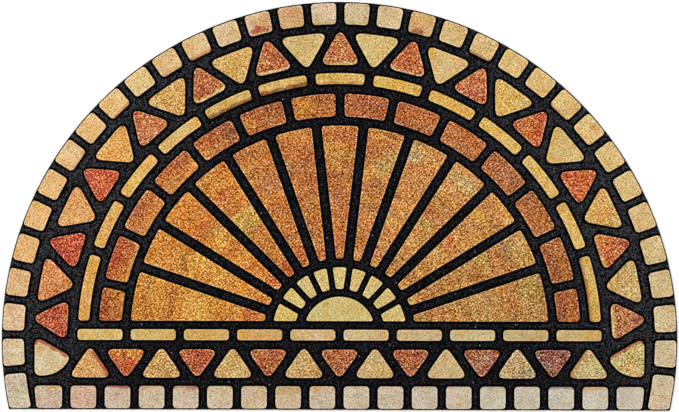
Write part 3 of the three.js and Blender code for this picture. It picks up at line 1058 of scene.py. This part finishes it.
pale_flock = printed_flock(
    "flock_printed_pale_straw", dark=1.2, pale=0.78, blotch=(0.02, 0.032, 0.06), wash=0.65
)
sun_outline = cut_below(polar(SUN_CENTRE, SUN_RADIUS, np.linspace(90, -90, SUN_ARC_POINTS)), FAN_FLOOR)
sun_ray_tones = tones_along(SUN_RAY_TONES, SUN_RAYS, np.random.default_rng(8))
sun_ray_band = fan_band(SUN_RAY_INNER, SUN_RAY_OUTER, SUN_RAY_PITCH, SUN_RAYS, SUN_RAY_GROOVE)
sun_tiles = [
    make_tile(points, SUN_RAY_CORNER, SUN_RAY_PITCH * step, tone, SUN_RAY_SPECKLE)
    for (step, points), tone in zip(sun_ray_band, sun_ray_tones)
]
sun_tiles.append(
    make_tile(sun_outline, SUN_CORNER, 0, linear(SUN_TONE)[:3], SUN_SPECKLE, stains=SUN_STAINS)
)
sun = raised_tiles("sun", sun_tiles, pale_flock, seed=16)
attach(sun, "root")

# Bar row
# Ten straight bars under the fan, printed gold like the arc bars and paler to the right.
ROW_BAR_PITCH = 71.9
ROW_BARS = 10
ROW_BAR_WIDTH = 61.2
ROW_BAR_LOW = 93.8
ROW_BAR_HIGH = 109
ROW_BAR_CORNER = 5.2
ROW_BAR_TONES = ["#cba967", "#c59f5c", "#c2a575", "#bfa679", "#bda470"]
ROW_BAR_SPECKLE = 0.135
ROW_BAR_STAINS = {
    -2.5: [(-180, 101, 18, "#c9963f", 0.4)],
    -1.5: [(-122, 101, 22, "#c88c3f", 0.6)],
    4.5: [(345, 101, 20, "#cb9e4c", 0.5)],
}


def block(middle, width, low, high, flare_left=0, flare_right=0):
    """The corners of a straight tile, which may flare at its upper corners."""
    left, right = middle - width / 2, middle + width / 2
    return np.array([(left, low), (right, low), (right + flare_right, high), (left - flare_left, high)])


row_bar_tones = tones_along(ROW_BAR_TONES, ROW_BARS, np.random.default_rng(9))
row_bar_tiles = [
    make_tile(
        block(ROW_BAR_PITCH * step, ROW_BAR_WIDTH, ROW_BAR_LOW, ROW_BAR_HIGH),
        ROW_BAR_CORNER,
        0,
        tone,
        ROW_BAR_SPECKLE,
        stains=ROW_BAR_STAINS.get(step, ()),
    )
    for step, tone in zip(steps_from_middle(ROW_BARS), row_bar_tones)
]
row_bars = raised_tiles("row_bars", row_bar_tiles, gold_flock, seed=17)
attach(row_bars, "root")

# Triangles of the row
# Under the bars the triangles come again in a straight row: straw ones point up and terracotta ones down.
# The terracotta turns dusky to the right.
ROW_PITCH = 48.07
ROW_TRIANGLES = 15
ROW_CORNER = 7.8
POINT_UP_APEX = 87.1
POINT_UP_BASE = 43.1
POINT_UP_HALF_BASE = 30.2
POINT_DOWN_APEX = 41.1
POINT_DOWN_BASE = 82
POINT_DOWN_HALF_BASE = 29.6
ROW_STRAW_TONES = ["#cc9960", "#c29b5e", "#c09e67", "#c2a776", "#b99d6c"]
ROW_STRAW_SPECKLES = [0.27, 0.36, 0.25, 0.31, 0.2, 0.16, 0.33, 0.26]
ROW_STRAW_SLIPS = {-7: ("right", 4.4, "#a2553a", 0.9), 7: ("left", 3.6, "#aa764d", 0.8)}
ROW_STRAW_STAINS = {
    -5: [(-240, 58, 15, "#a37c42", 0.4)],
    -3: [(-144, 58, 20, "#c9ab70", 0.6)],
    -1: [(-48, 56, 20, "#bf945a", 0.6)],
    1: [(57, 54, 9, "#c79a55", 0.7)],
    3: [(144, 58, 22, "#c9b083", 0.6)],
    5: [(240, 60, 20, "#b29368", 0.5), (250, 50, 9, "#6b573e", 0.6)],
    7: [(342, 56, 15, "#c4b576", 0.6)],
}
ROW_RED_TONES = ["#a94f22", "#9d5127", "#a35f2f", "#9a5631", "#7f4a32"]
ROW_RED_SPECKLE = 0.386
ROW_RED_STAINS = {
    -6: [(-276, 77, 10, "#d69534", 0.8), (-300, 77, 7, "#cf8534", 0.6)],
    4: [(195, 66, 13, "#a27a66", 0.5)],
    6: [(290, 68, 13, "#8f6962", 0.4)],
}


def row_triangle(step, apex, base, half_base):
    """A triangle of the row."""
    middle = step * ROW_PITCH
    return np.array([(middle, apex), (middle - half_base, base), (middle + half_base, base)])


row_steps = steps_from_middle(ROW_TRIANGLES)
row_straw_steps = [step for step in row_steps if step % 2 == 1]
row_straw_tones = tones_along(ROW_STRAW_TONES, len(row_straw_steps), np.random.default_rng(20))
row_straw_tiles = [
    make_tile(
        row_triangle(step, POINT_UP_APEX, POINT_UP_BASE, POINT_UP_HALF_BASE),
        ROW_CORNER,
        0,
        tone,
        speckle,
        ROW_STRAW_SLIPS.get(step),
        ROW_STRAW_STAINS.get(step, ()),
    )
    for step, tone, speckle in zip(row_straw_steps, row_straw_tones, ROW_STRAW_SPECKLES)
]
row_straw = raised_tiles("row_straw", row_straw_tiles, straw_flock, seed=18)
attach(row_straw, "root")
row_red_steps = [step for step in row_steps if step % 2 == 0]
row_red_tones = tones_along(ROW_RED_TONES, len(row_red_steps), np.random.default_rng(21))
row_red_tiles = [
    make_tile(
        row_triangle(step, POINT_DOWN_APEX, POINT_DOWN_BASE, POINT_DOWN_HALF_BASE),
        ROW_CORNER,
        0,
        tone,
        ROW_RED_SPECKLE,
        stains=ROW_RED_STAINS.get(step, ()),
    )
    for step, tone in zip(row_red_steps, row_red_tones)
]
row_terracotta = raised_tiles("row_terracotta", row_red_tiles, terracotta_flock, seed=19)
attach(row_terracotta, "root")

# Square row
# Eighteen squares along the straight edge, printed the palest of all, with ochre and rust slipped down
# onto the upper edge of some, and a thin tan strip along the upper edge of the others. The end ones flare
# to follow the corner tiles.
SQUARE_PITCH = 46.1
SQUARES = 18
SQUARE_WIDTH = 34.9
SQUARE_LOW = RUBBER_RIM
SQUARE_HIGH = 32.5
SQUARE_CORNER = 5.8
END_SQUARE_FLARE = 3
SQUARE_TONES = ["#c6ae95", "#c5af94", "#c3b196", "#c3b7a1", "#c4bba8"]
SQUARE_SPECKLES = (0.165, 0.115)  # at the left end and at the right
SQUARE_UPPER_STRIP = ("out", 2.5, "#b1956e", 0.5)  # a thin tan strip along the upper edge, on most of them
SQUARE_SLIPS = {
    -6.5: ("out", 2.9, "#9c4b44", 0.85),
    -5.5: ("out", 3.2, "#bb9262", 0.7),
    -4.5: ("out", 3.2, "#ab7650", 0.75),
    -1.5: ("out", 9.0, "#b3965a", 0.6),
    -0.5: ("out", 4.0, "#bf9e62", 0.6),
    4.5: ("out", 2.6, "#9d8e7f", 0.6),
    6.5: ("out", 3.0, "#7f6c5c", 0.8),
    7.5: ("out", 5.0, "#c29e64", 0.8),
}
SQUARE_STAINS = {
    -8.5: [(-385, 30, 9, "#c8a264", 0.6)],
    -7.5: [(-346, 18, 18, "#cf9c7e", 0.5)],
    -4.5: [(-199, 30, 5, "#a0524a", 0.7)],
    -3.5: [(-161, 24, 12, "#bfae80", 0.4)],
    -2.5: [(-115, 17, 20, "#c1a477", 0.5)],
    -1.5: [(-69, 16, 20, "#bb9d6c", 0.5)],
    -0.5: [(-32, 29, 5, "#c98547", 0.9)],
    3.5: [(168, 14, 14, "#c9ac82", 0.6)],
}

last_square = (SQUARES - 1) / 2
square_tones = tones_along(SQUARE_TONES, SQUARES, np.random.default_rng(22))
square_speckles = np.linspace(*SQUARE_SPECKLES, SQUARES)
square_tiles = [
    make_tile(
        block(
            SQUARE_PITCH * step,
            SQUARE_WIDTH,
            SQUARE_LOW,
            SQUARE_HIGH,
            flare_left=END_SQUARE_FLARE if step == -last_square else 0,
            flare_right=END_SQUARE_FLARE if step == last_square else 0,
        ),
        SQUARE_CORNER,
        0,
        tone,
        speckle,
        SQUARE_SLIPS.get(step, SQUARE_UPPER_STRIP),
        SQUARE_STAINS.get(step, ()),
    )
    for step, tone, speckle in zip(steps_from_middle(SQUARES), square_tones, square_speckles)
]
row_squares = raised_tiles("row_squares", square_tiles, cream_flock, seed=23)
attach(row_squares, "root")

# Studio
# The mat lies on a wide pale floor under a white sky and one large soft lamp, and the camera looks
# straight down on it through a long lens.
FLOOR_SIZE = 24000
SKY_STRENGTH = 0.3
LAMP_SIZE = 2400
LAMP_PLACE = (-300, 500, 3600)
LAMP_POWER = 124
LENS = 120
SENSOR = 36
VIEW_WIDTH = 917  # of the mat's top, across the whole picture
VIEW_PLACE = (-0.47, -0.22)  # the point of the mat in the middle of the picture
VIEW_TURN = 0.15  # degrees


def pale_floor():
    """Matt white paper, with the faintest unevenness."""
    cloud_size = 400
    material = bpy.data.materials.new("white_paper")
    material.use_nodes = True
    tree = material.node_tree
    place = add(tree, "ShaderNodeTexCoord", {}).outputs["Object"]
    cloud = add(
        tree, "ShaderNodeTexNoise", {"Vector": place, "Scale": 1 / (cloud_size * MM)}
    ).outputs["Fac"]
    white = mix(tree, cloud, linear("#fafaf9"), linear("#fcfcfb"))
    surface = tree.nodes["Principled BSDF"]
    surface.inputs["Roughness"].default_value = 1
    surface.inputs["Specular IOR Level"].default_value = 0
    tree.links.new(white, surface.inputs["Base Color"])
    return material


floor_mesh = bpy.data.meshes.new("floor")
reach = FLOOR_SIZE / 2 * MM
floor_corners = [(-reach, -reach, 0), (reach, -reach, 0), (reach, reach, 0), (-reach, reach, 0)]
floor_mesh.from_pydata(floor_corners, [], [(0, 1, 2, 3)])
floor_mesh.materials.append(pale_floor())
floor = bpy.data.objects.new("floor", floor_mesh)
bpy.context.scene.collection.objects.link(floor)

sky = bpy.data.worlds.new("white_sky")
sky.use_nodes = True
sky.node_tree.nodes["Background"].inputs["Color"].default_value = (1, 1, 1, 1)
sky.node_tree.nodes["Background"].inputs["Strength"].default_value = SKY_STRENGTH
bpy.context.scene.world = sky

lamp_light = bpy.data.lights.new("soft_lamp", "AREA")
lamp_light.size = LAMP_SIZE * MM
lamp_light.energy = LAMP_POWER
lamp = bpy.data.objects.new("soft_lamp", lamp_light)
lamp.location = Vector(LAMP_PLACE) * MM
lamp.rotation_euler = (-lamp.location).to_track_quat("-Z", "Y").to_euler()
bpy.context.scene.collection.objects.link(lamp)

lens = bpy.data.cameras.new("camera")
lens.lens = LENS
lens.sensor_width = SENSOR
camera = bpy.data.objects.new("camera", lens)
camera.location = Vector((*VIEW_PLACE, VIEW_WIDTH * LENS / SENSOR)) * MM + Vector((0, 0, mat_high.z))
camera.rotation_euler = (0, 0, math.radians(VIEW_TURN))
bpy.context.scene.collection.objects.link(camera)
bpy.context.scene.camera = camera
bpy.context.scene.view_settings.view_transform = "Standard"
